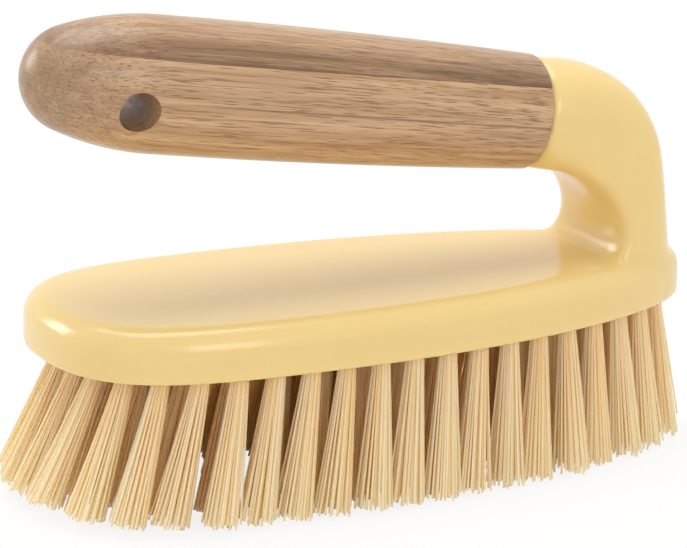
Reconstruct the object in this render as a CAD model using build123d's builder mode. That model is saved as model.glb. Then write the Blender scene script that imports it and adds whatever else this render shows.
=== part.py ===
from build123d import *
from math import asin, copysign, cos, degrees, pi, radians, sin, tan
import os

os.makedirs("parts", exist_ok=True)

# Scrub brush: a moulded plastic body with a gooseneck, a turned handle of pressed bamboo plies
# pushed on its spigot, and rings of tufts held in blind holes by small flat anchors.
# Frame: +X towards the gooseneck, +Z up, tips of the bristles on Z = 0, origin under the block's middle.

# Driving sizes of the block, in millimetres
block_length = 150.0
block_width = 64.0
block_thickness = 11.2
block_edge_radius = 5.4
bristle_reach = 31.0

# Gooseneck: where it stands on the block, how far it leans and how tightly it bends
neck_set_in = 4.1
neck_depth = 17.6
neck_half_width = 14.6
neck_reach = 33.8
neck_rise = 31.3
neck_back_lean = 9.2
neck_front_lean = 6.4
neck_foot_depth = 5.0
neck_toe_bend = 7.0
neck_toe_length = 7.9
neck_toe_depth = 2.5
neck_sections = 8
neck_section_points = 16

# Handle: a turned grip that climbs to its domed free end, pressed from three plies
handle_slope = 8.6
handle_length = 116.6
handle_diameter = 28.6
handle_end_diameter = 24.7
handle_dome_length = 28.9
handle_tip_radius = 11.3
handle_ply_height = 17.0
collar_step = 0.5
collar_edge_radius = 1.4
hanging_hole_radius = 4.25
hanging_hole_from_end = 20.9
hanging_hole_drop = 3.75

# Spigot of the body inside the handle
spigot_radius = 5.6
spigot_length = 46.0
spigot_rib_height = 0.9
spigot_rib_width = 1.2
spigot_ribs = 4
spigot_clearance = 0.15
bore_end_clearance = 2.0

# Tufts: rings of holes at a steady step, inset from the outline
tuft_inset = 5.2
tuft_nose_margin = 4.4
outer_tufts = 40
second_tufts = 28
third_tufts = 22
middle_tufts = 8
strands_per_tuft = 4
ring_step = 8.2
hole_radius = 2.0
hole_depth = 8.0
backing_thickness = 1.6
backing_margin = 2.85
plug_clearance = 0.1
anchor_height = 1.6
anchor_thickness = 0.4
strand_radius = 0.85
strand_spread = 1.25
tip_spread = 2.7
ring_flare = 4.6
comb_lean_at_nose = 8.0
comb_lean_at_neck = 1.0
overrun = 5.0

# Plan outline: where along the block it is widest, and how full each end is, along it and across it
widest_share = -0.14
nose_fullness_shares = (0.6, 0.96)
neck_end_fullness_shares = (0.605, 0.455)
# Gooseneck: how wide its back and its front bend, as shares of its reach, how square its foot gets,
# and how much it narrows to its back
neck_bend_shares = (0.725, 0.438)
neck_squareness_share = 0.7
neck_taper_share = 0.29
# How much of each ring's flare a ring nearer the middle keeps
flare_shares = (1.0, 0.85, 0.6, 0.2)
# How far along the handle its grip is measured, and how much of its swell it has there
swell_shares = (0.4, 0.82)

# Places that follow from the sizes above
block_top = bristle_reach + block_thickness
backing_top = bristle_reach + backing_thickness
hole_top = bristle_reach + hole_depth
plug_top = hole_top - anchor_height
anchor_length = 2 * (hole_radius - plug_clearance) - anchor_thickness
neck_back_x = block_length / 2 - neck_set_in
neck_front_x = neck_back_x - neck_depth
joint_x = neck_back_x - neck_reach
joint_z = block_top + neck_rise
slope_cos = cos(radians(handle_slope))
slope_sin = sin(radians(handle_slope))
joint = Vector(joint_x, 0, joint_z)
to_free_end = Vector(-slope_cos, 0, slope_sin)
upwards = Vector(slope_sin, 0, slope_cos)
side_plane = Plane(origin=joint, x_dir=to_free_end, z_dir=(0, 1, 0))
collar_plane = Plane(origin=joint, x_dir=(0, 1, 0), z_dir=to_free_end)


# Half of the block's plan outline, from its blunt nose to its narrower neck end, less an inset
# all round and a margin more at the nose
def half_outline(inset, nose_margin):
    widest_x = block_length * widest_share
    half_width = block_width / 2 - inset
    nose_x = inset + nose_margin - block_length / 2
    neck_x = block_length / 2 - inset
    nose_along, nose_across = nose_fullness_shares
    neck_along, neck_across = neck_end_fullness_shares
    with BuildLine() as half:
        Bezier(
            (nose_x, 0),
            (nose_x, half_width * nose_across),
            (widest_x + (nose_x - widest_x) * nose_along, half_width),
            (widest_x, half_width),
        )
        Bezier(
            (widest_x, half_width),
            (widest_x + (neck_x - widest_x) * neck_along, half_width),
            (neck_x, half_width * neck_across),
            (neck_x, 0),
        )
    return half.line


def outline_face(inset, nose_margin):
    with BuildSketch() as outline:
        with BuildLine():
            add(half_outline(inset, nose_margin))
            mirror(about=Plane.XZ)
        make_face()
    return outline.sketch.face()


# Side profile of the gooseneck: one line down its back, and one down its front that ends in a toe
back_lean = tan(radians(neck_back_lean))
front_lean = tan(radians(neck_front_lean))
slope = slope_sin / slope_cos
neck_back_bend, neck_front_bend = [neck_reach * share for share in neck_bend_shares]
collar_radius = handle_end_diameter / 2 - collar_step
collar_top = joint + upwards * collar_radius
collar_bottom = joint - upwards * collar_radius


def lean_point(foot_x, lean, rise):
    return Vector(foot_x - rise * lean, 0, block_top + rise)


# The point where the collar's line, running down its slope, meets a leaning line of the neck
def bend_corner(start, foot_x, lean):
    rise = (start.Z - slope * (foot_x - start.X) - block_top) / (1 - slope * lean)
    return lean_point(foot_x, lean, rise)


with BuildLine() as back_line:
    FilletPolyline(
        collar_top,
        bend_corner(collar_top, neck_back_x, back_lean),
        lean_point(neck_back_x, back_lean, 0),
        radius=neck_back_bend,
    )
toe_corner = lean_point(neck_front_x, front_lean, 0)
with BuildLine() as front_line:
    FilletPolyline(
        collar_bottom,
        bend_corner(collar_bottom, neck_front_x, front_lean),
        toe_corner,
        toe_corner - Vector(neck_toe_length, 0, neck_toe_depth),
        radius=(neck_front_bend, neck_toe_bend),
    )


# One section of the neck, an oval that squares up and narrows to its back as it comes down
def neck_section(share):
    back = Wire(back_line.edges()) @ share
    front = Wire(front_line.edges()) @ share
    depth = (back - front).length / 2
    across = collar_radius + (neck_half_width - collar_radius) * share
    square = 2 + neck_squareness_share * share
    points = []
    for step in range(neck_section_points):
        turn = 2 * pi * step / neck_section_points
        x = copysign(abs(cos(turn)) ** (2 / square), cos(turn)) * depth
        y = copysign(abs(sin(turn)) ** (2 / square), sin(turn)) * across
        points.append((x, y * (1 - neck_taper_share * share * x / depth)))
    section_plane = Plane(
        origin=(back + front) / 2,
        x_dir=back - front,
        z_dir=(back - front).cross(Vector(0, 1, 0)),
    )
    with BuildSketch(section_plane) as section:
        with BuildLine():
            Spline(*points, periodic=True)
        make_face()
    return section.sketch.face()


# Body: the block with its rounded top edge, the gooseneck, and the ribbed spigot for the handle
with BuildPart() as brush_body:
    with BuildSketch(Plane.XY.offset(bristle_reach)):
        add(outline_face(0, 0))
    extrude(amount=block_thickness)
    fillet(brush_body.faces().sort_by(Axis.Z)[-1].edges(), radius=block_edge_radius)

with BuildPart() as neck:
    loft([neck_section(step / (neck_sections - 1)) for step in range(neck_sections)])
    extrude(neck.faces().sort_by(Axis.Z)[0], amount=neck_foot_depth, dir=(0, 0, -1))

with BuildPart() as spigot:
    with BuildSketch(collar_plane):
        Circle(spigot_radius)
        with PolarLocations(spigot_radius, spigot_ribs):
            Rectangle(2 * spigot_rib_height, spigot_rib_width)
    extrude(amount=spigot_length)
    chamfer(spigot.faces().sort_by(Axis.X)[0].edges(), length=spigot_rib_height / 2)

with brush_body:
    add(neck.part)
    fillet(brush_body.faces().sort_by_distance(joint)[0].edges(), radius=collar_edge_radius)
    add(spigot.part)

# Handle blank: the grip's long arc, a shoulder arc tangent to it, and a tip that is part of a ball
grip_end = handle_length - handle_dome_length
grip_radius = handle_diameter / 2
grip_start_radius = handle_end_diameter / 2
swell_along, swell_up = swell_shares
swell_radius = grip_start_radius + (grip_radius - grip_start_radius) * swell_up
tip_start = handle_dome_length - handle_tip_radius
shoulder_radius = (tip_start**2 + grip_radius**2 - handle_tip_radius**2) / (
    2 * (grip_radius - handle_tip_radius)
)
tip_turn = 90 - degrees(asin(tip_start / (shoulder_radius - handle_tip_radius)))
with BuildPart() as handle_blank:
    with BuildSketch(side_plane):
        with BuildLine():
            grip = ThreePointArc(
                (0, grip_start_radius),
                (handle_length * swell_along, swell_radius),
                (grip_end, grip_radius),
            )
            tip = CenterArc((handle_length - handle_tip_radius, 0), handle_tip_radius, 0, tip_turn)
            TangentArc(grip @ 1, tip @ 1, tangent=grip % 1)
            Polyline((handle_length, 0), (0, 0), (0, grip_start_radius))
        make_face()
    revolve(axis=Axis(joint, to_free_end))

bore_depth = spigot_length + bore_end_clearance
bore_radius = spigot_radius + spigot_rib_height + spigot_clearance
hole_middle = joint + to_free_end * (handle_length - hanging_hole_from_end) - upwards * hanging_hole_drop
upper_glue_plane = Plane(origin=joint + upwards * (handle_ply_height / 2), z_dir=upwards)
lower_glue_plane = Plane(origin=joint - upwards * (handle_ply_height / 2), z_dir=upwards)

with BuildPart() as handle_top_ply:
    add(handle_blank.part)
    split(bisect_by=upper_glue_plane, keep=Keep.TOP)

with BuildPart() as handle_bottom_ply:
    add(handle_blank.part)
    split(bisect_by=lower_glue_plane, keep=Keep.BOTTOM)

with BuildPart() as handle_core_ply:
    add(handle_blank.part)
    split(bisect_by=upper_glue_plane, keep=Keep.BOTTOM)
    split(bisect_by=lower_glue_plane, keep=Keep.TOP)
    with BuildSketch(collar_plane):
        Circle(bore_radius)
    extrude(amount=bore_depth, mode=Mode.SUBTRACT)
    with BuildSketch(Plane(origin=hole_middle, x_dir=to_free_end, z_dir=(0, 1, 0))):
        Circle(hanging_hole_radius)
    extrude(amount=grip_radius + overrun, both=True, mode=Mode.SUBTRACT)


# Each tuft's place on the underside, and the way its ring faces there
def ring_tufts(inset, count):
    path = Wire(half_outline(inset, tuft_nose_margin).edges())
    tufts = []
    for step in range(count // 2 + 1):
        share = 2 * step / count
        place = path @ share
        along = path % share
        tufts.append((place, Vector(-along.Y, along.X)))
        if 0 < step < count // 2:
            tufts.append((Vector(place.X, -place.Y), Vector(-along.Y, -along.X)))
    return tufts


# A straight row of tufts along the middle, from one end to the other
def row_tufts(start_x, end_x, count):
    step = (end_x - start_x) / (count - 1)
    return [(Vector(start_x + step * place, 0), Vector(0, 0)) for place in range(count)]


# The lean of a tuft's tip: out from its ring, and combed towards the nose, most at the nose
def tip_lean(place, outwards, flare_share):
    to_neck = (place.X + block_length / 2) / block_length
    comb = comb_lean_at_nose + (comb_lean_at_neck - comb_lean_at_nose) * to_neck
    return outwards * ring_flare * flare_share - Vector(comb, 0)


# One strand: a three-sided bar from the underside down to the floor, cut flat at its tip
def strand(place, lean, turn):
    spoke = Vector(cos(turn), sin(turn))
    root = place + spoke * strand_spread
    tip = root + lean + spoke * (tip_spread - strand_spread)
    root_plane = Plane(origin=(root.X, root.Y, bristle_reach), x_dir=spoke)
    profile = root_plane * RegularPolygon(strand_radius, 3)
    way = Vector(tip.X - root.X, tip.Y - root.Y, -bristle_reach)
    return extrude(profile, amount=way.length, dir=way)


ring_insets = [tuft_inset + ring_step * ring for ring in range(3)]
row_inset = ring_insets[2] + ring_step
row_start = row_inset + tuft_nose_margin - block_length / 2
rings = {
    "outer": (ring_tufts(ring_insets[0], outer_tufts), ring_insets[0] - backing_margin),
    "second": (ring_tufts(ring_insets[1], second_tufts), (ring_insets[0] + ring_insets[1]) / 2),
    "third": (ring_tufts(ring_insets[2], third_tufts), (ring_insets[1] + ring_insets[2]) / 2),
    "middle": (
        row_tufts(row_start, block_length / 2 - row_inset, middle_tufts),
        (ring_insets[2] + row_inset) / 2,
    ),
}


# Underside of the body: a shallow recess for the slices, and a blind hole over each tuft, with
# six flat sides to keep its faces few
hole_places = [place for tufts, _ in rings.values() for place, _ in tufts]
with brush_body:
    with BuildSketch(Plane.XY.offset(bristle_reach)):
        add(outline_face(ring_insets[0] - backing_margin, tuft_nose_margin))
    extrude(amount=backing_thickness, mode=Mode.SUBTRACT)
    with BuildSketch(Plane.XY.offset(backing_top)):
        with Locations(*hole_places):
            RegularPolygon(hole_radius, 6)
    extrude(amount=hole_top - backing_top, mode=Mode.SUBTRACT)

for piece, name in (
    (brush_body, "brush_body"),
    (handle_top_ply, "handle_top_ply"),
    (handle_core_ply, "handle_core_ply"),
    (handle_bottom_ply, "handle_bottom_ply"),
):
    piece.part.label = name
    export_step(piece.part, "parts/" + name + ".step")

# Tufts of each ring: strands and folded roots fused to the ring's slice of the underside,
# and the flat anchors that lie over the roots, one in each hole
for ring, (name, (tufts, edge_inset)) in enumerate(rings.items()):
    inner_insets = [inset for _, inset in rings.values() if inset > edge_inset]
    strands = []
    for number, (place, outwards) in enumerate(tufts):
        lean = tip_lean(place, outwards, flare_shares[ring])
        for spoke in range(strands_per_tuft):
            turn = 2 * pi * (spoke + 0.5) / strands_per_tuft + number
            strands.append(strand(place, lean, turn))
    places = [place for place, _ in tufts]
    with BuildPart() as bristles:
        with BuildSketch(Plane.XY.offset(bristle_reach)):
            add(outline_face(edge_inset, tuft_nose_margin))
            if inner_insets:
                add(outline_face(min(inner_insets), tuft_nose_margin), mode=Mode.SUBTRACT)
        extrude(amount=backing_thickness)
        with BuildSketch(Plane.XY.offset(backing_top)):
            with Locations(*places):
                RegularPolygon(hole_radius - plug_clearance, 6)
        extrude(amount=plug_top - backing_top)
        add(strands)
    bristles.part.label = name + "_bristles"
    export_step(bristles.part, "parts/" + name + "_bristles.step")

    with BuildPart() as anchors:
        with BuildSketch(Plane.XY.offset(plug_top)):
            with Locations(*places):
                Rectangle(anchor_length, anchor_thickness)
        extrude(amount=anchor_height)
    anchors.part.label = name + "_anchors"
    export_step(anchors.part, "parts/" + name + "_anchors.step")
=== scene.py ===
import math

import bmesh
import bpy
import numpy as np
from mathutils import Matrix, Vector


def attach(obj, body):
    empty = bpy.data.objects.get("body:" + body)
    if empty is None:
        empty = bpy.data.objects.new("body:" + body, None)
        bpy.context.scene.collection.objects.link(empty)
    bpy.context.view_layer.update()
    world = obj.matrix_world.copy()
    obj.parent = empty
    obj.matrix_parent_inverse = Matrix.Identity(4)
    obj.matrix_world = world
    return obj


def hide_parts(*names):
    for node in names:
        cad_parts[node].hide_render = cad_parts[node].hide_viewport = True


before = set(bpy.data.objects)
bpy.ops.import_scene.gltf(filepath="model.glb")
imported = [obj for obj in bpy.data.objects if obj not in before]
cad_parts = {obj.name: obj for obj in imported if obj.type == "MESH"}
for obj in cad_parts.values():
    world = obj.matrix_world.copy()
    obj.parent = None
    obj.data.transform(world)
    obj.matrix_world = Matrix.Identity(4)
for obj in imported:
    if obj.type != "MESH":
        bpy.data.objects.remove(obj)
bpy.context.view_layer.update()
mm = 0.001

# Camera
# A long lens from the front left and a little above, as the photograph was taken, so that the
# brush shows its side, its top and the domed end of its handle.
camera_turn = math.radians(-26.211)
camera_rise = math.radians(15.306)
camera_roll = math.radians(0.928)
camera_place = Vector((-0.357186, -0.713875, 0.259583))
focal_pixels = 3893.854
photo_width = 687

back = Vector((
    math.sin(camera_turn) * math.cos(camera_rise),
    -math.cos(camera_turn) * math.cos(camera_rise),
    math.sin(camera_rise),
))
level = Vector((math.cos(camera_turn), math.sin(camera_turn), 0))
upright = back.cross(level)
right = level * math.cos(camera_roll) + upright * math.sin(camera_roll)
camera_up = upright * math.cos(camera_roll) - level * math.sin(camera_roll)
camera_data = bpy.data.cameras.new("photo_camera")
camera_data.sensor_fit = "HORIZONTAL"
camera_data.sensor_width = 36
camera_data.lens = focal_pixels * camera_data.sensor_width / photo_width
camera_data.clip_start = 0.01
camera_data.clip_end = 30
camera = bpy.data.objects.new("photo_camera", camera_data)
turned_view = Matrix((right, camera_up, back)).transposed().to_4x4()
camera.matrix_world = Matrix.Translation(camera_place) @ turned_view
bpy.context.scene.collection.objects.link(camera)
bpy.context.scene.camera = camera

# Moulded body
# The block and the gooseneck are one moulding in polypropylene, with a ribbed spigot for the
# handle and a blind hole for each tuft. It is glossy, because the mould was polished.
block_length = 150
block_width = 64
underside = 31
block_top = 42.2
top_rounding = 5.4
bottom_rounding = 0.6
collar_rounding = 1.4
joint = np.array([37.1, 0, 73.5])
handle_slope = math.radians(8.6)
to_free_end = np.array([-math.cos(handle_slope), 0, math.sin(handle_slope)])
handle_up = np.array([math.sin(handle_slope), 0, math.cos(handle_slope)])
across = np.array([0, 1, 0])


def half_outline(inset, nose_margin, shares):
    widest_x = -0.14 * block_length
    half_width = block_width / 2 - inset
    nose_x = inset + nose_margin - block_length / 2
    neck_x = block_length / 2 - inset
    t = np.linspace(0, 1, 1500)[:, None]
    ends = (
        ((nose_x, 0), (nose_x, half_width * 0.96), (widest_x + (nose_x - widest_x) * 0.6, half_width)),
        (
            (widest_x, half_width),
            (widest_x + (neck_x - widest_x) * 0.605, half_width),
            (neck_x, half_width * 0.455),
        ),
    )
    lasts = ((widest_x, half_width), (neck_x, 0))
    weights = np.hstack([(1 - t) ** 3, 3 * t * (1 - t) ** 2, 3 * t**2 * (1 - t), t**3])
    line = np.vstack([weights @ np.array([*controls, last]) for controls, last in zip(ends, lasts)])
    line = line[np.append(True, np.linalg.norm(np.diff(line, axis=0), axis=1) > 0)]
    run = np.append(0, np.cumsum(np.linalg.norm(np.diff(line, axis=0), axis=1)))
    tangent = np.gradient(line, run, axis=0)
    tangent[0] = (0, 1)
    tangent[-1] = (0, -1)
    place = np.column_stack([np.interp(shares * run[-1], run, line[:, k]) for k in (0, 1)])
    along = np.column_stack([np.interp(shares * run[-1], run, tangent[:, k]) for k in (0, 1)])
    along /= np.linalg.norm(along, axis=1)[:, None]
    return place, np.column_stack([-along[:, 1], along[:, 0]])


def rounded_line(corners, radii, shares):
    corners = np.array(corners, float)
    points = [corners[0]]
    for a, b, c, radius in zip(corners, corners[1:], corners[2:], radii):
        to_a = (a - b) / np.linalg.norm(a - b)
        to_c = (c - b) / np.linalg.norm(c - b)
        half = math.acos(np.clip(to_a @ to_c, -1, 1)) / 2
        middle = (to_a + to_c) / np.linalg.norm(to_a + to_c)
        centre = b + middle * radius / math.sin(half)
        start = b + to_a * radius / math.tan(half) - centre
        end = b + to_c * radius / math.tan(half) - centre
        turn = math.pi - 2 * half
        for step in np.linspace(0, 1, 60):
            spoke = start * math.sin(turn * (1 - step)) + end * math.sin(turn * step)
            points.append(centre + spoke / math.sin(turn))
    points.append(corners[-1])
    points = np.array(points)
    run = np.append(0, np.cumsum(np.linalg.norm(np.diff(points, axis=0), axis=1)))
    return np.column_stack([np.interp(shares * run[-1], run, points[:, k]) for k in (0, 1)])


def shell(name, *stacks):
    points, faces = [], []
    for rings in stacks:
        count = len(rings[0])
        base = len(points)
        points.extend(point for ring in rings for point in ring)
        for low in range(base, base + count * (len(rings) - 1), count):
            for step in range(count):
                after = (step + 1) % count
                faces.append((low + step, low + after, low + count + after, low + count + step))
        faces.append(tuple(range(base, base + count)))
        faces.append(tuple(range(base + count * (len(rings) - 1), base + count * len(rings))))
    mesh = bpy.data.meshes.new(name)
    mesh.from_pydata([tuple(float(value) * mm for value in point) for point in points], [], faces)
    work = bmesh.new()
    work.from_mesh(mesh)
    bmesh.ops.recalc_face_normals(work, faces=work.faces)
    work.to_mesh(mesh)
    work.free()
    piece = bpy.data.objects.new(name, mesh)
    bpy.context.scene.collection.objects.link(piece)
    return piece


def settle(piece):
    depsgraph = bpy.context.evaluated_depsgraph_get()
    mesh = bpy.data.meshes.new_from_object(piece.evaluated_get(depsgraph))
    mesh.name = piece.name
    piece.modifiers.clear()
    piece.data = mesh
    return piece


def cut(piece, tool, operation="DIFFERENCE"):
    boolean = piece.modifiers.new("cut", "BOOLEAN")
    boolean.operation = operation
    boolean.solver = "MANIFOLD"
    boolean.object = tool
    settle(piece)
    piece.data.materials.clear()
    bpy.data.objects.remove(tool)
    return piece


half_place, half_out = half_outline(0, 0, np.linspace(0, 1, 161))
plan = np.vstack([half_place, half_place[-2:0:-1] * (1, -1)])
outwards = np.vstack([half_out, half_out[-2:0:-1] * (1, -1)])
levels = [(bottom_rounding, underside), (0.2, underside + 0.12), (0, underside + bottom_rounding)]
for angle in np.radians(np.linspace(0, 90, 13)):
    inset, down = top_rounding * (1 - math.cos(angle)), top_rounding * (1 - math.sin(angle))
    levels.append((inset, block_top - down))
block_rings = [
    [(*(place - out * inset), height) for place, out in zip(plan, outwards)] for inset, height in levels
]

# Its neck follows two lines, one down its back and one down its front, that ends in a toe
neck_back_x = 70.9
neck_front_x = 53.9
neck_half_width = 14.6
neck_back_bend = 24.5
neck_front_bend = 14.8
neck_taper = 0.29
toe_bend = 7.0
toe_length = 7.9
toe_depth = 2.5
foot_depth = 5
collar_radius = 24.7 / 2 - 0.5
slope = math.tan(handle_slope)


def bend_corner(start, foot_x, lean):
    rise = (start[1] - slope * (foot_x - start[0]) - block_top) / (1 - slope * lean)
    return foot_x - rise * lean, block_top + rise


collar_top = (joint + handle_up * collar_radius)[[0, 2]]
collar_bottom = (joint - handle_up * collar_radius)[[0, 2]]
back_lean = math.tan(math.radians(9.2))
front_lean = math.tan(math.radians(6.4))
rounding_steps = np.radians(np.linspace(90, 0, 7))
# both lines are about this long, so this share of them holds the rounded end at the collar
neck_length = 45
shares = np.concatenate([
    collar_rounding * (1 - np.sin(rounding_steps)) / neck_length,
    np.linspace(collar_rounding / neck_length, 1, 70)[1:],
])
insets = np.concatenate([collar_rounding * (1 - np.cos(rounding_steps)), np.zeros(69)])
back_corners = (collar_top, bend_corner(collar_top, neck_back_x, back_lean), (neck_back_x, block_top))
front_corners = (
    collar_bottom,
    bend_corner(collar_bottom, neck_front_x, front_lean),
    (neck_front_x, block_top),
    (neck_front_x - toe_length, block_top - toe_depth),
)
back_points = rounded_line(back_corners, (neck_back_bend,), shares)
front_points = rounded_line(front_corners, (neck_front_bend, toe_bend), shares)
turns = np.linspace(0, 2 * math.pi, 96, endpoint=False)
neck_rings = []
for share, inset, rear, front in zip(shares, insets, back_points, front_points):
    depth = np.linalg.norm(rear - front) / 2
    width = collar_radius + (neck_half_width - collar_radius) * share
    crisp = min(1, share / 0.35)
    power = np.where(np.cos(turns) < 0, 2 / (2 + 2.6 * crisp), 2 / (2 + 1.2 * crisp))
    x = np.sign(np.cos(turns)) * np.abs(np.cos(turns)) ** power
    y = np.sign(np.sin(turns)) * np.abs(np.sin(turns)) ** power * (1 - neck_taper * share * x)
    middle = (rear + front) / 2
    towards = (rear - front) / np.linalg.norm(rear - front)
    along, up = middle + towards * (depth - inset) * x[:, None], (width - inset) * y
    neck_rings.append(list(zip(along[:, 0], up, along[:, 1])))
neck_rings.append([(a, b, c - foot_depth) for a, b, c in neck_rings[-1]])

# the spigot has four ribs, and its free end is eased
spigot_radius = 5.6
rib_radius = 6.5
rib_width = 1.2
spigot_length = 46
end_ease = 0.5
on_rib = np.abs(np.sin(2 * turns)) * spigot_radius < rib_width
spigot_radii = np.where(on_rib, rib_radius, spigot_radius)
spokes = np.cos(turns)[:, None] * across + np.sin(turns)[:, None] * handle_up
spigot_rings = [
    joint + to_free_end * reach + spokes * (spigot_radii - ease)[:, None]
    for reach, ease in ((-4, 0), (spigot_length - end_ease, 0), (spigot_length, end_ease))
]
body = shell("scrub_brush_body", block_rings, neck_rings, spigot_rings)
remesh = body.modifiers.new("melt", "REMESH")
remesh.mode = "VOXEL"
remesh.voxel_size = 0.56 * mm
settle(body)

# The neck flows out of the block through a small hollow curve all round its foot
foot_middle = 58.2
foot_half_length = 12.8
foot_half_width = 14.4
count = len(body.data.vertices)
points = np.empty(count * 3)
body.data.vertices.foreach_get("co", points)
points = points.reshape(-1, 3) / mm
foot = ((points[:, 0] - foot_middle) / foot_half_length) ** 2 + (points[:, 1] / foot_half_width) ** 2
near = (foot > 0.62) & (foot < 2.3) & (points[:, 2] > 39.5) & (points[:, 2] < 50)
inner = near & (foot < 1.8) & (points[:, 2] < 47.5)
group = body.vertex_groups.new(name="foot")
group.add(np.flatnonzero(near).tolist(), 0.4, "REPLACE")
group.add(np.flatnonzero(inner).tolist(), 1.0, "REPLACE")
for name, steps, where in (("ease", 5, ""), ("foot", 40, "foot")):
    smooth = body.modifiers.new(name, "SMOOTH")
    smooth.factor = 0.5
    smooth.iterations = steps
    smooth.vertex_group = where
settle(body)

# Its tuft holes, four millimetres wide, in three rings and a row along the middle
tuft_inset = 5.2
ring_step = 8.2
nose_margin = 4.4
hole_radius = 2.0
hole_top = underside + 8


def ring_tufts(inset, count):
    places, outs = half_outline(inset, nose_margin, np.linspace(0, 1, count // 2 + 1))
    middle = slice(1, count // 2)
    return np.vstack([places, places[middle] * (1, -1)]), np.vstack([outs, outs[middle] * (1, -1)])


row_inset = tuft_inset + 3 * ring_step
row_x = np.linspace(row_inset + nose_margin - block_length / 2, block_length / 2 - row_inset, 8)
rings = {
    "outer": (*ring_tufts(tuft_inset, 40), 1.0),
    "second": (*ring_tufts(tuft_inset + ring_step, 28), 0.85),
    "third": (*ring_tufts(tuft_inset + 2 * ring_step, 22), 0.6),
    "middle": (np.column_stack([row_x, np.zeros(8)]), np.zeros((8, 2)), 0.2),
}
hole_turns = np.linspace(0, 2 * math.pi, 20, endpoint=False)
hole_round = [(hole_radius * math.cos(t), hole_radius * math.sin(t)) for t in hole_turns]
hole_bars = [
    [[(x + a, y + b, z) for a, b in hole_round] for z in (underside - 2, hole_top)]
    for places, _, _ in rings.values()
    for x, y in places
]
cut(body, shell("tuft_holes", *hole_bars))
body.data.shade_smooth()
body.data.set_sharp_from_angle(angle=math.radians(40))


def linear(code):
    values = [int(code[start:start + 2], 16) / 255 for start in (1, 3, 5)]
    return (*[v / 12.92 if v <= 0.04045 else ((v + 0.055) / 1.055) ** 2.4 for v in values], 1)


def add_node(tree, kind, inputs=(), **settings):
    node = tree.nodes.new(kind)
    for name, value in settings.items():
        setattr(node, name, value)
    for socket, value in dict(inputs).items():
        if isinstance(value, bpy.types.Node):
            value = value.outputs[0]
        if isinstance(value, bpy.types.NodeSocket):
            tree.links.new(value, node.inputs[socket])
        else:
            node.inputs[socket].default_value = value
    return node


# Polypropylene, moulded in a polished tool: a smooth shine, and light that sinks in a little and
# softens the edges, with flow in the colour too faint to see as a pattern
plastic = bpy.data.materials.new("moulded_polypropylene")
plastic.use_nodes = True
tree = plastic.node_tree
shader = tree.nodes["Principled BSDF"]
coordinates = add_node(tree, "ShaderNodeTexCoord")
on_body = coordinates.outputs["Object"]
flow = add_node(tree, "ShaderNodeTexNoise", {"Vector": on_body, "Scale": 28, "Detail": 2})
flow_colour = add_node(
    tree,
    "ShaderNodeMix",
    {0: flow, 6: linear("#E8CA83"), 7: linear("#EBCF8C")},
    data_type="RGBA",
)
tree.links.new(flow_colour.outputs[2], shader.inputs["Base Color"])
shader.inputs["Roughness"].default_value = 0.2
shader.inputs["IOR"].default_value = 1.52
shader.inputs["Subsurface Weight"].default_value = 0.25
shader.inputs["Subsurface Radius"].default_value = (1.0, 0.62, 0.3)
shader.inputs["Subsurface Scale"].default_value = 2.5 * mm
skin = add_node(tree, "ShaderNodeTexNoise", {"Vector": on_body, "Scale": 900, "Detail": 1})
skin_bump = add_node(tree, "ShaderNodeBump", {"Height": skin, "Strength": 0.02, "Distance": 0.1 * mm})
tree.links.new(skin_bump.outputs["Normal"], shader.inputs["Normal"])
body.data.materials.append(plastic)
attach(body, "root")
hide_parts("brush_body")

# Handle
# Three plies of pressed bamboo, glued flat and turned to a grip with a domed end, then drilled
# for the spigot and for hanging. It is sanded smooth and lightly waxed.
handle_length = 116.6
dome_length = 28.9
tip_radius = 11.3
grip_radius = 28.6 / 2
end_radius = 24.7 / 2
ply_half = 8.5
end_easing = 0.5
bore_radius = 6.65
bore_depth = 48
hole_middle = (95.7, -3.75)
hanging_hole_radius = 4.25
tip_start = dome_length - tip_radius
shoulder_radius = (tip_start**2 + grip_radius**2 - tip_radius**2) / (2 * (grip_radius - tip_radius))
tip_turn = math.asin(tip_start / (shoulder_radius - tip_radius))
grip_length = handle_length - dome_length
swollen = end_radius + (grip_radius - end_radius) * 0.82
swell = np.polyfit((0, handle_length * 0.4, grip_length), (end_radius, swollen, grip_radius), 2)
profile = [(0, end_radius - end_easing), (0.15, end_radius - 0.15)]
profile += [(u, np.polyval(swell, u)) for u in np.linspace(end_easing, grip_length, 60)]
for angle in np.linspace(0, tip_turn, 30)[1:]:
    drawn_in = shoulder_radius * (1 - math.cos(angle))
    profile.append((grip_length + shoulder_radius * math.sin(angle), grip_radius - drawn_in))
for angle in np.linspace(tip_turn, math.pi / 2, 26)[1:-1]:
    profile.append((handle_length - tip_radius * (1 - math.sin(angle)), tip_radius * math.cos(angle)))
profile.append((handle_length - 0.002, 0.2))
grip_turns = np.linspace(0, 2 * math.pi, 144, endpoint=False)


def on_handle(along, sideways, rise):
    return joint + to_free_end * along + across * sideways + handle_up * rise


def turned(name, stations, turns):
    spokes = [(math.cos(t), math.sin(t)) for t in turns]
    return shell(name, [[on_handle(u, r * a, r * b) for a, b in spokes] for u, r in stations])


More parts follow.
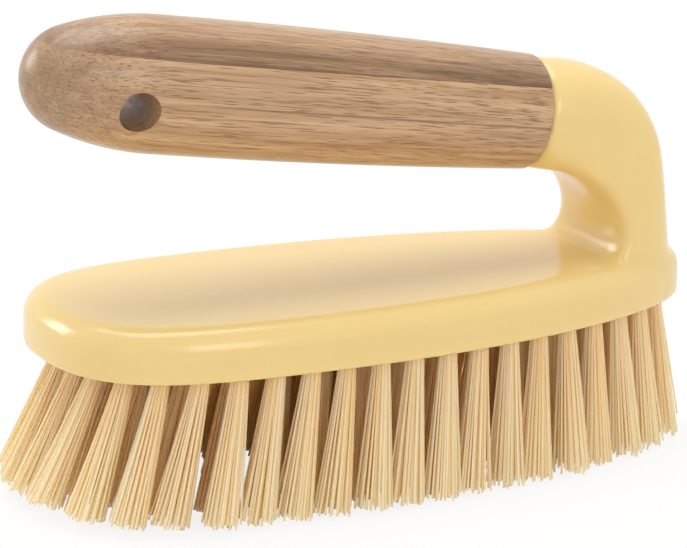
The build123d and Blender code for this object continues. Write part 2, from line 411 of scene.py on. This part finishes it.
# the cutting slabs and the drill reach clear of the wood on every side
clear = 20
plies = []
for name, node, low, high in (
    ("handle_top_layer", "handle_top_ply", ply_half, clear),
    ("handle_core_layer", "handle_core_ply", -ply_half, ply_half),
    ("handle_bottom_layer", "handle_bottom_ply", -clear, -ply_half),
):
    ply = turned(name, profile, grip_turns)
    corners = ((-5, -clear), (125, -clear), (125, clear), (-5, clear))
    slab = [[on_handle(u, y, rise) for u, y in corners] for rise in (low, high)]
    cut(ply, shell("slab", slab), "INTERSECT")
    if node == "handle_core_ply":
        cut(ply, turned("bore", ((-3, bore_radius), (bore_depth, bore_radius)), turns))
        along = hole_middle[0] + hanging_hole_radius * np.cos(turns)
        rise = hole_middle[1] + hanging_hole_radius * np.sin(turns)
        hole = [[on_handle(u, y, h) for u, h in zip(along, rise)] for y in (-clear, clear)]
        cut(ply, shell("hanging_hole", hole))
    ply.data.shade_smooth()
    ply.data.set_sharp_from_angle(angle=math.radians(30))
    plies.append((ply, node))

# Pressed bamboo: long pale fibres with darker bundles, which show as fine dashes along the grip
# and as specks on the dome, and a brown band that is partly the outer skin of the cane where it meets the
# glue and partly a painted dark reflection along the grip's upper rounding
bamboo = bpy.data.materials.new("waxed_pressed_bamboo")
bamboo.use_nodes = True
tree = bamboo.node_tree
shader = tree.nodes["Principled BSDF"]
coordinates = add_node(tree, "ShaderNodeTexCoord")
cosine, sine = math.cos(handle_slope), math.sin(handle_slope)
on_grip = add_node(
    tree,
    "ShaderNodeMapping",
    {
        "Vector": coordinates.outputs["Object"],
        "Rotation": (0, -handle_slope, 0),
        "Location": (
            (joint[2] * sine - joint[0] * cosine) * mm,
            0,
            -(joint[0] * sine + joint[2] * cosine) * mm,
        ),
    },
)
# streaks 1.8 mm wide and 70 mm long, fibres 0.3 mm wide, and bundles 0.5 mm apart and 9 mm long
streaks = add_node(tree, "ShaderNodeMapping", {"Vector": on_grip, "Scale": (14, 560, 560)})
fibres = add_node(tree, "ShaderNodeMapping", {"Vector": on_grip, "Scale": (60, 3300, 3300)})
bundles = add_node(tree, "ShaderNodeMapping", {"Vector": on_grip, "Scale": (110, 2000, 2000)})
streak = add_node(
    tree, "ShaderNodeTexNoise", {"Vector": streaks, "Scale": 1, "Detail": 4, "Roughness": 0.6}
)
fibre = add_node(
    tree, "ShaderNodeTexNoise", {"Vector": fibres, "Scale": 1, "Detail": 3, "Roughness": 0.6}
)
bundle = add_node(tree, "ShaderNodeTexVoronoi", {"Vector": bundles, "Scale": 1})
parts = add_node(tree, "ShaderNodeSeparateXYZ", {0: on_grip})
lengthwise, rise = parts.outputs["X"], parts.outputs["Z"]
# the brown band, partly the cane's skin and partly painted dark reflection, starts sharply 7.1 mm above
# the middle, darkest at its edge, and fades upwards and towards the dome
edge = add_node(tree, "ShaderNodeMath", {0: rise, 1: 7.05 * mm}, operation="GREATER_THAN")
dark = add_node(tree, "ShaderNodeMapRange", {0: rise, 1: 7.1 * mm, 2: 9.2 * mm, 3: 0.28, 4: 0})
soft = add_node(tree, "ShaderNodeMapRange", {0: rise, 1: 9.6 * mm, 2: 12.8 * mm, 3: 0.62, 4: 0.06})
uneven = add_node(tree, "ShaderNodeMapRange", {0: streak, 1: 0.35, 2: 0.65, 3: 1.15, 4: 0.65})
reach = add_node(
    tree, "ShaderNodeMapRange", {0: lengthwise, 1: -112 * mm, 2: -90 * mm, 3: 0.3, 4: 1}
)
# the band's mask: the cane's skin together with a painted dark reflection
skin_band_and_painted_reflection = add_node(tree, "ShaderNodeMath", {0: dark, 1: soft}, operation="ADD")
skin_band_and_painted_reflection = add_node(tree, "ShaderNodeMath", {0: skin_band_and_painted_reflection, 1: edge}, operation="MULTIPLY")
skin_band_and_painted_reflection = add_node(tree, "ShaderNodeMath", {0: skin_band_and_painted_reflection, 1: uneven}, operation="MULTIPLY", use_clamp=True)
skin_band_and_painted_reflection = add_node(tree, "ShaderNodeMath", {0: skin_band_and_painted_reflection, 1: reach}, operation="MULTIPLY")
# one strong fibre runs along the grip, 1.3 mm below its middle, and ends before the dome
line = add_node(tree, "ShaderNodeMath", {0: rise, 1: 1.3 * mm}, operation="ADD")
line = add_node(tree, "ShaderNodeMath", {0: line}, operation="ABSOLUTE")
line = add_node(tree, "ShaderNodeMapRange", {0: line, 1: 0.1 * mm, 2: 0.35 * mm, 3: 0.6, 4: 0})
reach = add_node(tree, "ShaderNodeMapRange", {0: lengthwise, 1: -98 * mm, 2: -70 * mm, 3: 0, 4: 1})
line = add_node(tree, "ShaderNodeMath", {0: line, 1: reach}, operation="MULTIPLY")
# the fibres' cut ends on the dome drink in the wax, and are duller than the grip
dome = add_node(
    tree, "ShaderNodeMapRange", {0: lengthwise, 1: -96 * mm, 2: -111 * mm, 3: 0, 4: 0.42}
)
wood = linear("#A9825D")
for share, colour in (
    (add_node(tree, "ShaderNodeMapRange", {0: streak, 1: 0.3, 2: 0.7}), "#D2AD86"),
    (add_node(tree, "ShaderNodeMapRange", {0: fibre, 1: 0.54, 2: 0.62, 3: 0, 4: 0.75}), "#8A623D"),
    (add_node(tree, "ShaderNodeMapRange", {0: bundle, 1: 0.28, 2: 0.14, 3: 0, 4: 0.75}), "#714E2F"),
    # the band's brown: the cane's skin, and painted dark reflection
    (skin_band_and_painted_reflection, "#54351C"),
    (line, "#74512F"),
    (dome, "#7F6752"),
):
    mix = add_node(tree, "ShaderNodeMix", {0: share, 6: wood, 7: linear(colour)}, data_type="RGBA")
    wood = mix.outputs[2]
tree.links.new(wood, shader.inputs["Base Color"])
shader.inputs["Roughness"].default_value = 0.36
shader.inputs["IOR"].default_value = 1.5
shader.inputs["Specular IOR Level"].default_value = 0.3
shader.inputs["Coat Weight"].default_value = 0.3
shader.inputs["Coat Roughness"].default_value = 0.2
fibre_bump = add_node(tree, "ShaderNodeBump", {"Height": fibre, "Strength": 0.4, "Distance": 0.06 * mm})
tree.links.new(fibre_bump.outputs["Normal"], shader.inputs["Normal"])
for ply, node in plies:
    ply.data.materials.append(bamboo)
    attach(ply, "root")
    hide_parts(node)

# Bristles
# Straw coloured nylon filaments, folded over an anchor and driven into each hole as a tuft, then
# trimmed level. They splay from their holes and are combed a little towards the nose by use.
tree = bpy.data.node_groups.new("tuft_filling", "GeometryNodeTree")
tuft_filling = tree
sockets = {}
for name, kind in (
    ("Geometry", "NodeSocketGeometry"),
    ("Filaments in a tuft", "NodeSocketInt"),
    ("Hole radius", "NodeSocketFloat"),
    ("Tip radius", "NodeSocketFloat"),
    ("Root height", "NodeSocketFloat"),
    ("Underside height", "NodeSocketFloat"),
    ("Free length", "NodeSocketFloat"),
    ("Tip floor", "NodeSocketFloat"),
    ("Uneven trim", "NodeSocketFloat"),
    ("Spread", "NodeSocketFloat"),
    ("Share of strays", "NodeSocketFloat"),
    ("Filament radius", "NodeSocketFloat"),
    ("Seed", "NodeSocketInt"),
    ("Finish", "NodeSocketMaterial"),
):
    sockets[name] = tree.interface.new_socket(name=name, in_out="INPUT", socket_type=kind)
tree.interface.new_socket(name="Geometry", in_out="OUTPUT", socket_type="NodeSocketGeometry")
given = add_node(tree, "NodeGroupInput").outputs
seeds = [
    add_node(tree, "ShaderNodeMath", {0: given["Seed"], 1: step * 100}, operation="ADD")
    for step in range(5)
]
hole, filament_radius, tip = given["Hole radius"], given["Filament radius"], given["Tip radius"]
underneath, root_height = given["Underside height"], given["Root height"]

# every tuft's point becomes its filaments, packed in the hole by the golden angle
tuft_points = add_node(tree, "GeometryNodeMeshToPoints", {"Mesh": given["Geometry"]})
copies = add_node(
    tree,
    "GeometryNodeDuplicateElements",
    {"Geometry": tuft_points, "Amount": given["Filaments in a tuft"]},
    domain="POINT",
)
number = copies.outputs["Duplicate Index"]
fill = add_node(tree, "ShaderNodeMath", {0: number, 1: 0.5}, operation="ADD")
fill = add_node(tree, "ShaderNodeMath", {0: fill, 1: given["Filaments in a tuft"]}, operation="DIVIDE")
fill = add_node(tree, "ShaderNodeMath", {0: fill, 1: 0.4}, operation="POWER")
start_turn = add_node(tree, "GeometryNodeInputNamedAttribute", {"Name": "turn"}, data_type="FLOAT")
turn = add_node(tree, "ShaderNodeMath", {0: number, 1: 2.39996, 2: start_turn}, operation="MULTIPLY_ADD")
spoke = add_node(tree, "ShaderNodeCombineXYZ", {0: fill})
spoke = add_node(tree, "ShaderNodeVectorRotate", {"Vector": spoke, "Angle": turn}, rotation_type="Z_AXIS")

# its root, and how far sideways and down its tip is: it splays, leans with its tuft and wanders,
# and a few stray well away from the rest
packing = add_node(tree, "ShaderNodeMath", {0: hole, 1: filament_radius}, operation="SUBTRACT")
here = add_node(tree, "GeometryNodeInputPosition")
root = add_node(tree, "ShaderNodeVectorMath", {0: spoke, 1: packing, 2: here}, operation="MULTIPLY_ADD")
stray = add_node(
    tree, "FunctionNodeRandomValue", {6: given["Share of strays"], 8: seeds[0]}, data_type="BOOLEAN"
).outputs[3]
wide = add_node(tree, "ShaderNodeMath", {0: stray, 1: 6.5, 2: 1}, operation="MULTIPLY_ADD")
wide = add_node(tree, "ShaderNodeMath", {0: wide, 1: given["Spread"]}, operation="MULTIPLY")
any_way = add_node(
    tree, "FunctionNodeRandomValue", {0: (-1, -1, 0), 1: (1, 1, 0), 8: seeds[1]}, data_type="FLOAT_VECTOR"
)
lean = add_node(tree, "GeometryNodeInputNamedAttribute", {"Name": "lean"}, data_type="FLOAT_VECTOR")
wander = add_node(tree, "ShaderNodeVectorMath", {0: any_way, 1: wide, 2: lean}, operation="MULTIPLY_ADD")
splay = add_node(tree, "ShaderNodeMath", {0: tip, 1: hole}, operation="SUBTRACT")
sideways = add_node(
    tree, "ShaderNodeVectorMath", {0: spoke, 1: splay, 2: wander}, operation="MULTIPLY_ADD"
)
trim = add_node(
    tree, "FunctionNodeRandomValue", {2: 0.0, 3: given["Uneven trim"], 8: seeds[2]}, data_type="FLOAT"
).outputs[1]
reach = add_node(tree, "ShaderNodeMath", {0: given["Free length"], 1: trim}, operation="SUBTRACT")
reach = add_node(tree, "ShaderNodeMath", {0: reach, 1: 2}, operation="POWER")
aside = add_node(tree, "ShaderNodeVectorMath", {0: sideways, 1: sideways}, operation="DOT_PRODUCT")
drop = add_node(tree, "ShaderNodeMath", {0: reach, 1: aside.outputs["Value"]}, operation="SUBTRACT")
drop = add_node(tree, "ShaderNodeMath", {0: drop}, operation="SQRT")
longest = add_node(tree, "ShaderNodeMath", {0: underneath, 1: given["Tip floor"]}, operation="SUBTRACT")
longest = add_node(tree, "ShaderNodeMath", {0: longest, 1: trim}, operation="SUBTRACT")
drop = add_node(tree, "ShaderNodeMath", {0: drop, 1: longest}, operation="MINIMUM")
bow = add_node(tree, "FunctionNodeRandomValue", {2: 0.98, 3: 1.14, 8: seeds[3]}, data_type="FLOAT")
tint = add_node(tree, "FunctionNodeRandomValue", {2: 0.0, 3: 1.0, 8: seeds[4]}, data_type="FLOAT")
filaments = copies
for name, kind, value in (
    ("root", "FLOAT_VECTOR", root),
    ("sideways", "FLOAT_VECTOR", sideways),
    ("drop", "FLOAT", drop),
    ("bow", "FLOAT", bow.outputs[1]),
    ("tint", "FLOAT", tint.outputs[1]),
):
    filaments = add_node(
        tree,
        "GeometryNodeStoreNamedAttribute",
        {"Geometry": filaments, "Name": name, "Value": value},
        data_type=kind,
        domain="POINT",
    )
straight = add_node(tree, "GeometryNodeCurvePrimitiveLine", {"Start": (0, 0, 0), "End": (0, 0, mm)})
stations = add_node(tree, "GeometryNodeResampleCurve", {"Curve": straight, "Count": 6})
laid = add_node(tree, "GeometryNodeInstanceOnPoints", {"Points": filaments, "Instance": stations})
curves = add_node(tree, "GeometryNodeRealizeInstances", {0: laid})

# the first station is the root in the hole, and the rest follow the filament to its tip
kept = {}
for name, kind in (
    ("root", "FLOAT_VECTOR"),
    ("sideways", "FLOAT_VECTOR"),
    ("drop", "FLOAT"),
    ("bow", "FLOAT"),
):
    kept[name] = add_node(tree, "GeometryNodeInputNamedAttribute", {"Name": name}, data_type=kind)
factor = add_node(tree, "GeometryNodeSplineParameter").outputs["Factor"]
free = add_node(tree, "ShaderNodeMapRange", {0: factor, 1: 0.2, 2: 1, 3: 0, 4: 1})
sunk = add_node(tree, "ShaderNodeMapRange", {0: factor, 1: 0, 2: 0.2, 3: 1, 4: 0})
bowed = add_node(tree, "ShaderNodeMath", {0: free, 1: kept["bow"]}, operation="POWER")
depth = add_node(tree, "ShaderNodeMath", {0: root_height, 1: underneath}, operation="SUBTRACT")
high = add_node(tree, "ShaderNodeMath", {0: sunk, 1: depth, 2: underneath}, operation="MULTIPLY_ADD")
fall = add_node(tree, "ShaderNodeMath", {0: free, 1: kept["drop"]}, operation="MULTIPLY")
high = add_node(tree, "ShaderNodeMath", {0: high, 1: fall}, operation="SUBTRACT")
rise = add_node(tree, "ShaderNodeCombineXYZ", {2: high})
over_root = add_node(tree, "ShaderNodeVectorMath", {0: kept["root"], 1: rise}, operation="ADD")
way = add_node(
    tree,
    "ShaderNodeVectorMath",
    {0: kept["sideways"], 1: bowed, 2: over_root},
    operation="MULTIPLY_ADD",
)
shaped = add_node(tree, "GeometryNodeSetPosition", {"Geometry": curves, "Position": way})
shaped = add_node(
    tree,
    "GeometryNodeStoreNamedAttribute",
    {"Geometry": shaped, "Name": "along", "Value": free},
    data_type="FLOAT",
    domain="POINT",
)
ring = add_node(
    tree, "GeometryNodeCurvePrimitiveCircle", {"Resolution": 4, "Radius": filament_radius}
)
bars = add_node(
    tree, "GeometryNodeCurveToMesh", {"Curve": shaped, "Profile Curve": ring, "Fill Caps": True}
)
whole = add_node(tree, "GeometryNodeRealizeInstances", {0: bars})
finished = add_node(tree, "GeometryNodeSetMaterial", {"Geometry": whole, "Material": given["Finish"]})
add_node(tree, "NodeGroupOutput", {0: finished})

# Extruded nylon, dyed straw: each filament a little lighter or darker, and painted paler towards its tip
# as painted light, with the deeper straw near the roots as painted shade
nylon = bpy.data.materials.new("straw_nylon_filament")
nylon.use_nodes = True
tree = nylon.node_tree
shader = tree.nodes["Principled BSDF"]
tint = add_node(tree, "ShaderNodeAttribute", attribute_name="tint").outputs["Fac"]
along = add_node(tree, "ShaderNodeAttribute", attribute_name="along").outputs["Fac"]
# paler towards the tips: painted light on the tips, against painted shade near the roots under the block
painted_light_share = add_node(tree, "ShaderNodeMapRange", {0: along, 1: 0.05, 2: 0.9, 3: 0, 4: 0.6})
straw = add_node(
    tree, "ShaderNodeMix", {0: tint, 6: linear("#FFEEBE"), 7: linear("#FFFAE4")}, data_type="RGBA"
)
# the tip colour mixed in here is painted light
tip_paling_as_painted_light = add_node(
    tree,
    "ShaderNodeMix",
    {0: painted_light_share, 6: straw.outputs[2], 7: linear("#FFFAE6")},
    data_type="RGBA",
)
tree.links.new(tip_paling_as_painted_light.outputs[2], shader.inputs["Base Color"])
shader.inputs["Roughness"].default_value = 0.36
shader.inputs["IOR"].default_value = 1.53
# light passes through the thin filaments and comes out golden deep between the tufts
glow = add_node(tree, "ShaderNodeBsdfTranslucent", {"Color": tip_paling_as_painted_light.outputs[2]})
filament = add_node(tree, "ShaderNodeMixShader", {0: 0.45, 1: shader, 2: glow})
tree.links.new(filament.outputs[0], tree.nodes["Material Output"].inputs["Surface"])

# how far, in millimetres, a tuft's tip is combed at the nose and at the neck, flares outwards, and
# strays from where it should be
comb_at_nose, comb_at_neck = 8, 1
flare = 4.6
disorder = 0.6
turn_step = 1.7
chances = np.random.default_rng(7)
for step, (name, (places, outs, flare_share)) in enumerate(rings.items()):
    from_nose = places[:, 0] + block_length / 2
    combed = comb_at_nose + (comb_at_neck - comb_at_nose) * from_nose / block_length
    leans = np.column_stack([outs * flare * flare_share, np.zeros(len(places))])
    leans[:, 0] -= combed
    leans[:, :2] += chances.normal(0, disorder, (len(places), 2))
    mesh = bpy.data.meshes.new(name + "_tufts")
    mesh.from_pydata([(x * mm, y * mm, 0) for x, y in places], [], [])
    lean = mesh.attributes.new("lean", "FLOAT_VECTOR", "POINT")
    lean.data.foreach_set("vector", (leans * mm).ravel())
    start = mesh.attributes.new("turn", "FLOAT", "POINT")
    start.data.foreach_set("value", np.arange(len(places)) * turn_step)
    tufts = bpy.data.objects.new(name + "_tufts", mesh)
    bpy.context.scene.collection.objects.link(tufts)
    maker = tufts.modifiers.new("filaments", "NODES")
    maker.node_group = tuft_filling
    for socket, value in (
        ("Filaments in a tuft", 62),
        ("Hole radius", hole_radius * mm),
        ("Tip radius", 4.3 * mm),
        ("Root height", 37.4 * mm),
        ("Underside height", underside * mm),
        ("Free length", 31.6 * mm),
        ("Tip floor", 0.1 * mm),
        ("Uneven trim", 1.5 * mm),
        ("Spread", 0.36 * mm),
        ("Share of strays", 0.008),
        ("Filament radius", 0.235 * mm),
        ("Seed", 11 + step),
        ("Finish", nylon),
    ):
        maker[sockets[socket].identifier] = value
    settle(tufts)
    tufts.data.shade_flat()
    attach(tufts, "root")
    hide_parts(name + "_bristles")

# Anchors
# Short flats of drawn steel that hold each folded tuft at the top of its hole. They are hidden
# by the roots, and only a trace of metal shows deep between the filaments.
steel = bpy.data.materials.new("drawn_steel_flat")
steel.use_nodes = True
tree = steel.node_tree
shader = tree.nodes["Principled BSDF"]
coordinates = add_node(tree, "ShaderNodeTexCoord")
on_steel = coordinates.outputs["Object"]
drawn = add_node(tree, "ShaderNodeMapping", {"Vector": on_steel, "Scale": (300, 4000, 4000)})
grain = add_node(tree, "ShaderNodeTexNoise", {"Vector": drawn, "Scale": 1, "Detail": 2})
greys = add_node(
    tree, "ShaderNodeMix", {0: grain, 6: linear("#A9A9A6"), 7: linear("#C4C3BF")}, data_type="RGBA"
)
tree.links.new(greys.outputs[2], shader.inputs["Base Color"])
shader.inputs["Metallic"].default_value = 1
shader.inputs["Roughness"].default_value = 0.34
for name in rings:
    for material_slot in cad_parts[name + "_anchors"].material_slots:
        material_slot.material = steel

# Floor and studio
# A white sheet that curves up behind the brush, in a bright tent. One soft lamp hangs overhead,
# one stands in front, one behind at the left, and a weak one low at the left. From below, the
# sheet is see-through.
floor_height = -0.0004
bend_start = 1.2
bend_radius = 0.8
floor_rows = [(-1.6, floor_height), (bend_start, floor_height)]
for angle in np.radians(np.linspace(6, 90, 15)):
    climb = bend_radius * (1 - math.cos(angle))
    floor_rows.append((bend_start + bend_radius * math.sin(angle), floor_height + climb))
floor_rows.append((2.0, 2.4))
floor_points = [(x, y, z) for y, z in floor_rows for x in (-2.4, 2.4)]
floor_faces = [(2 * k, 2 * k + 1, 2 * k + 3, 2 * k + 2) for k in range(len(floor_rows) - 1)]
floor_mesh = bpy.data.meshes.new("white_sheet")
floor_mesh.from_pydata(floor_points, [], floor_faces)
floor_mesh.shade_smooth()
floor = bpy.data.objects.new("white_sheet", floor_mesh)
bpy.context.scene.collection.objects.link(floor)
sheet = bpy.data.materials.new("white_paper_sheet")
sheet.use_nodes = True
tree = sheet.node_tree
shader = tree.nodes["Principled BSDF"]
shader.inputs["Base Color"].default_value = linear("#F2F1EF")
shader.inputs["Roughness"].default_value = 0.9
shader.inputs["Specular IOR Level"].default_value = 0.1
light_path = add_node(tree, "ShaderNodeLightPath")
seen = add_node(
    tree,
    "ShaderNodeMath",
    {0: light_path.outputs["Is Camera Ray"], 1: light_path.outputs["Is Glossy Ray"]},
    operation="MAXIMUM",
)
seen = add_node(tree, "ShaderNodeMath", {0: seen, 1: 0.85}, operation="MULTIPLY")
white = add_node(tree, "ShaderNodeEmission", {"Color": (1, 1, 1, 1), "Strength": 1})
paper = add_node(tree, "ShaderNodeMixShader", {0: seen, 1: shader, 2: white})
see_through = add_node(tree, "ShaderNodeBsdfTransparent")
side = add_node(tree, "ShaderNodeNewGeometry").outputs["Backfacing"]
mixed = add_node(tree, "ShaderNodeMixShader", {0: side, 1: paper, 2: see_through})
tree.links.new(mixed.outputs[0], tree.nodes["Material Output"].inputs["Surface"])
floor_mesh.materials.append(sheet)

world = bpy.data.worlds.new("studio")
bpy.context.scene.world = world
world.use_nodes = True
tree = world.node_tree
light_path = add_node(tree, "ShaderNodeLightPath")
seen = add_node(
    tree,
    "ShaderNodeMath",
    {0: light_path.outputs["Is Camera Ray"], 1: light_path.outputs["Is Glossy Ray"]},
    operation="MAXIMUM",
)
strength = add_node(tree, "ShaderNodeMapRange", {0: seen, 1: 0, 2: 1, 3: 0.68, 4: 1})
tree.nodes["Background"].inputs["Color"].default_value = (1, 1, 1, 1)
tree.links.new(strength.outputs[0], tree.nodes["Background"].inputs["Strength"])

for name, place, size, height, power in (
    ("lamp_front", (0.08, -1.0, 0.5), 0.45, 0.45, 2.1),
    ("lamp_back_left", (-0.75, 0.85, 0.4), 0.4, 0.4, 3.0),
    ("lamp_overhead", (-0.05, 0.25, 1.1), 0.8, 0.8, 7.0),
    ("lamp_left_low", (-0.8, -0.72, 0.22), 0.16, 0.3, 0.16),
):
    lamp_data = bpy.data.lights.new(name, "AREA")
    lamp_data.shape = "RECTANGLE"
    lamp_data.size = size
    lamp_data.size_y = height
    lamp_data.energy = power
    lamp = bpy.data.objects.new(name, lamp_data)
    lamp.location = place
    lamp.rotation_euler = (Vector(place) - Vector((0, 0, 0.05))).to_track_quat("Z", "Y").to_euler()
    bpy.context.scene.collection.objects.link(lamp)

bpy.context.scene.view_settings.view_transform = "Standard"
# light is handed on from filament to filament many times before it leaves a tuft
bpy.context.scene.cycles.max_bounces = 32
bpy.context.scene.cycles.diffuse_bounces = 32
bpy.context.scene.cycles.transmission_bounces = 32
